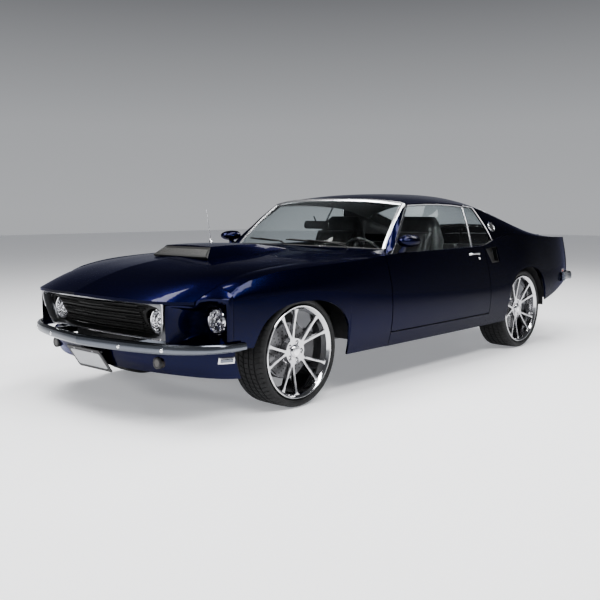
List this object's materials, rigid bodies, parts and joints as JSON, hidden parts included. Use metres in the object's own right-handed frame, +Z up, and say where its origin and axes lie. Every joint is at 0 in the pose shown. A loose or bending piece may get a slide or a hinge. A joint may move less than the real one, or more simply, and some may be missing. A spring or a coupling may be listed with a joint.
{
  "type": "fastback coupe car",
  "caption": "Lowered two-door fastback coupe with long bonnet and air scoop, round headlamps in and beside the grille, flared arches, forked-spoke wheels, opening doors, bonnet and boot lid.",
  "frame": {"origin": "middle of the bounding box on the ground", "axes": "+X forward, +Y to the left, +Z up"},
  "size_m": [4.77, 1.862, 1.2725],
  "materials": {
    "paint": "deep navy metallic under clear lacquer",
    "chassis": "satin black",
    "glass": "clear, faint green",
    "chrome": "polished",
    "satin": "satin",
    "grille_black": "matt black",
    "lamp_clear": "clear lens",
    "lamp_amber": "amber lens",
    "lamp_red": "red lens",
    "cabin": "black hide",
    "trim": "grained black",
    "iron": "as cast",
    "steel": "bare",
    "rim": "polished",
    "tyre": "black"
  },
  "bodies": {
    "body": {"floor_pan": "chassis", "inner_panels": "chassis", "front_fender_left": "paint", "front_fender_right": "paint", "lamp_housings": "paint", "rear_quarter_left": "paint", "rear_quarter_right": "paint", "side_scoops": "grille_black", "roof": "paint", "sail_panels": "paint", "cowl": "paint", "front_valance": "paint", "grille": "grille_black", "grille_surround": "satin", "front_bumper": "chrome", "rear_bumper": "chrome", "headlamps": "lamp_clear", "turn_lamps": "lamp_amber", "tail_panel": "paint", "tail_lamps": "lamp_red", "rear_valance": "paint", "windshield": "glass", "rear_window": "glass", "quarter_glass": "glass", "seats": "cabin", "dashboard": "trim", "steering_wheel": "trim", "engine": "iron", "driveline": "steel", "front_suspension": "iron", "exhaust": "steel", "fuel_tank": "steel"},
    "hood": {"hood": "paint", "hood_scoop": "paint", "hood_hinges": "steel"},
    "trunk_lid": {"trunk_lid": "paint", "trunk_hinges": "steel"},
    "door_left": {"door_left": "paint", "door_glass_left": "glass", "mirror_left": "paint"},
    "knuckle_left": {"knuckle_left": "iron"},
    "wheel_front_left": {"tyre_front_left": "tyre", "rim_front_left": "rim"},
    "wheel_rear_left": {"tyre_rear_left": "tyre", "rim_rear_left": "rim"},
    "door_right": {"door_right": "paint", "door_glass_right": "glass", "mirror_right": "paint"},
    "knuckle_right": {"knuckle_right": "iron"},
    "wheel_front_right": {"tyre_front_right": "tyre", "rim_front_right": "rim"},
    "wheel_rear_right": {"tyre_rear_right": "tyre", "rim_rear_right": "rim"}
  },
  "joints": [
    {"name": "door_left_swing", "type": "hinge", "parent": "body", "child": "door_left", "pos_m": [0.54, 0.881, 0.6], "axis": [0, 0, -1], "range_deg": [0, 62]},
    {"name": "steer_left", "type": "hinge", "parent": "body", "child": "knuckle_left", "pos_m": [1.435, 0.684, 0.326], "axis": [0, 0, 1], "range_deg": [-28, 28]},
    {"name": "spin_front_left", "type": "hinge", "parent": "knuckle_left", "child": "wheel_front_left", "pos_m": [1.435, 0.719, 0.326], "axis": [0, 1, 0], "continuous": true},
    {"name": "spin_rear_left", "type": "hinge", "parent": "body", "child": "wheel_rear_left", "pos_m": [-1.308, 0.719, 0.326], "axis": [0, 1, 0], "continuous": true},
    {"name": "door_right_swing", "type": "hinge", "parent": "body", "child": "door_right", "pos_m": [0.54, -0.881, 0.6], "axis": [0, 0, 1], "range_deg": [0, 62]},
    {"name": "steer_right", "type": "hinge", "parent": "body", "child": "knuckle_right", "pos_m": [1.435, -0.684, 0.326], "axis": [0, 0, 1], "range_deg": [-28, 28]},
    {"name": "spin_front_right", "type": "hinge", "parent": "knuckle_right", "child": "wheel_front_right", "pos_m": [1.435, -0.719, 0.326], "axis": [0, 1, 0], "continuous": true},
    {"name": "spin_rear_right", "type": "hinge", "parent": "body", "child": "wheel_rear_right", "pos_m": [-1.308, -0.719, 0.326], "axis": [0, 1, 0], "continuous": true},
    {"name": "hood_lift", "type": "hinge", "parent": "body", "child": "hood", "pos_m": [0.862, 0, 0.85771], "axis": [0, -1, 0], "range_deg": [0, 50]},
    {"name": "trunk_lift", "type": "hinge", "parent": "body", "child": "trunk_lid", "pos_m": [-1.959, 0, 0.95247], "axis": [0, 1, 0], "range_deg": [0, 60]}
  ],
  "couplings": [
    {"joint": "steer_right", "follows": "steer_left", "ratio": 1}
  ]
}
